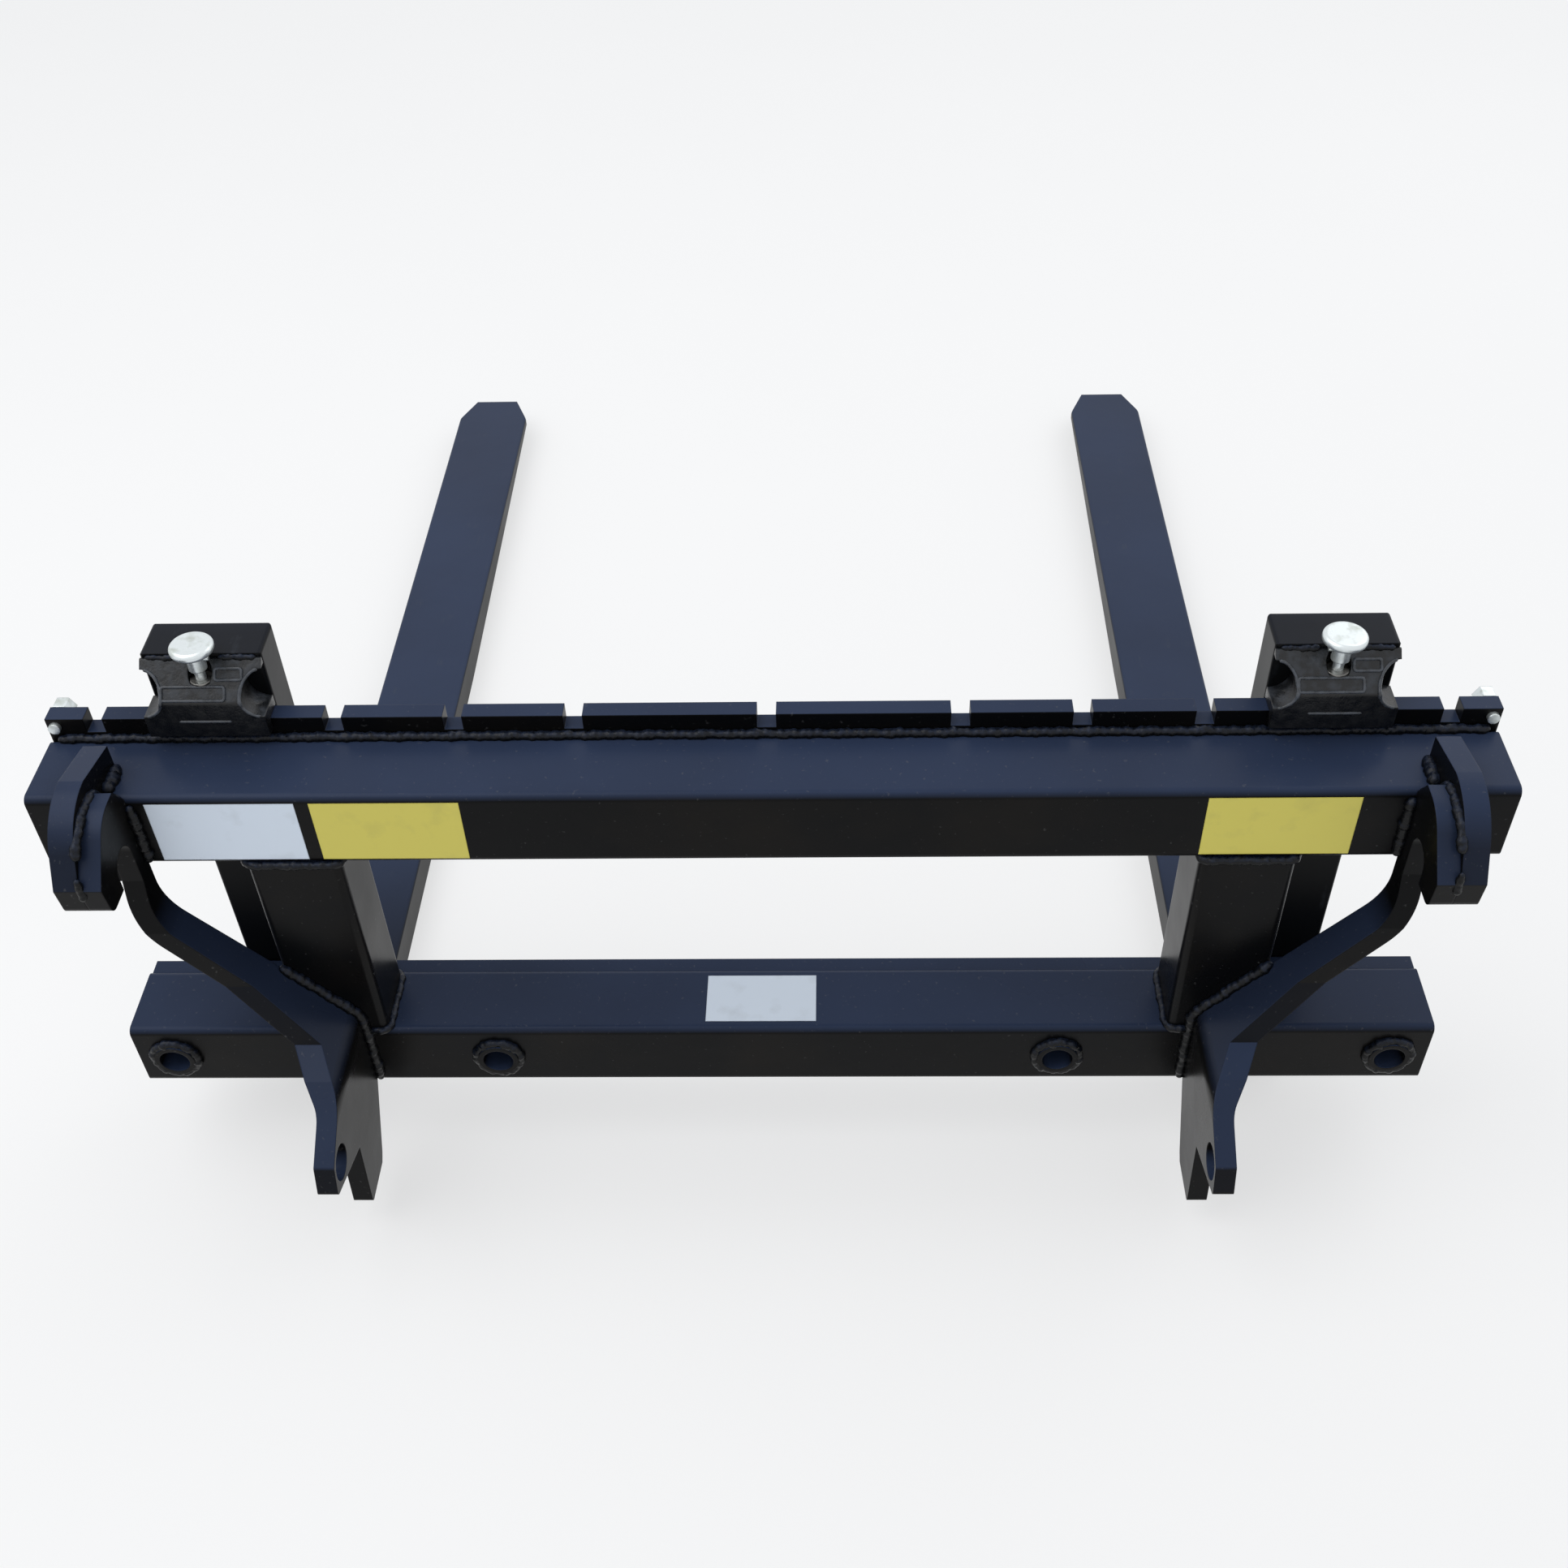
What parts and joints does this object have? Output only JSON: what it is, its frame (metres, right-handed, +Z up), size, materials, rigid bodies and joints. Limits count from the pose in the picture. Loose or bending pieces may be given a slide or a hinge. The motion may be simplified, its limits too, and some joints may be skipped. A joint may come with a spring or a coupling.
{
  "type": "pallet fork attachment",
  "caption": "Pallet fork attachment: welded beam carriage with loader hooks, lock-pin lugs, spike sleeves and sliding forged tines with lift-up latches.",
  "frame": {"origin": "on the floor under the middle of the bounding box", "axes": "+X to the right seen from the loader, +Y along the tines, +Z up"},
  "size_m": [1.2056, 1.487, 0.556],
  "materials": {
    "frame_paint": "gloss black enamel, light dust",
    "tine_paint": "semi-gloss black enamel over rolled steel",
    "hook_paint": "black enamel over rough casting",
    "zinc_plate": "pale zinc plate",
    "bare_steel": "oiled bright steel",
    "label_white": "blank white film",
    "label_yellow": "blank yellow film"
  },
  "bodies": {
    "frame": {"upper_beam": "frame_paint", "lower_beam": "frame_paint", "upper_cap_left": "frame_paint", "upper_cap_right": "frame_paint", "lower_cap_left": "frame_paint", "lower_cap_right": "frame_paint", "left_post": "frame_paint", "right_post": "frame_paint", "upper_carriage_bar": "frame_paint", "lower_carriage_bar": "frame_paint", "spike_sleeve_outer_left": "frame_paint", "spike_sleeve_inner_left": "frame_paint", "spike_sleeve_inner_right": "frame_paint", "spike_sleeve_outer_right": "frame_paint", "outer_hook_plate_left": "frame_paint", "outer_hook_plate_right": "frame_paint", "hitch_plate_left": "frame_paint", "hitch_plate_right": "frame_paint", "end_stop_bolt_left": "zinc_plate", "end_stop_bolt_right": "zinc_plate", "blank_plate": "label_white", "blank_sticker": "label_white", "blank_label_left": "label_yellow", "blank_label_right": "label_yellow"},
    "left_fork": {"fork_left": "tine_paint", "upper_hook_left": "hook_paint", "lower_hook_left": "hook_paint", "latch_bush_left": "bare_steel", "latch_spring_left": "bare_steel"},
    "left_latch": {"latch_pin_left": "zinc_plate", "latch_knob_left": "zinc_plate", "latch_cross_pin_left": "zinc_plate"},
    "right_fork": {"fork_right": "tine_paint", "upper_hook_right": "hook_paint", "lower_hook_right": "hook_paint", "latch_bush_right": "bare_steel", "latch_spring_right": "bare_steel"},
    "right_latch": {"latch_pin_right": "zinc_plate", "latch_knob_right": "zinc_plate", "latch_cross_pin_right": "zinc_plate"}
  },
  "joints": [
    {"name": "left_fork_slide", "type": "slide", "parent": "frame", "child": "left_fork", "axis": [1, 0, 0], "range_m": [0, 0.3]},
    {"name": "right_fork_slide", "type": "slide", "parent": "frame", "child": "right_fork", "axis": [-1, 0, 0], "range_m": [0, 0.3]},
    {"name": "left_latch_slide", "type": "slide", "parent": "left_fork", "child": "left_latch", "axis": [0, 0, -1], "range_m": [0, 0.009], "deforming": ["latch_spring_left"]},
    {"name": "right_latch_slide", "type": "slide", "parent": "right_fork", "child": "right_latch", "axis": [0, 0, -1], "range_m": [0, 0.009], "deforming": ["latch_spring_right"]}
  ]
}
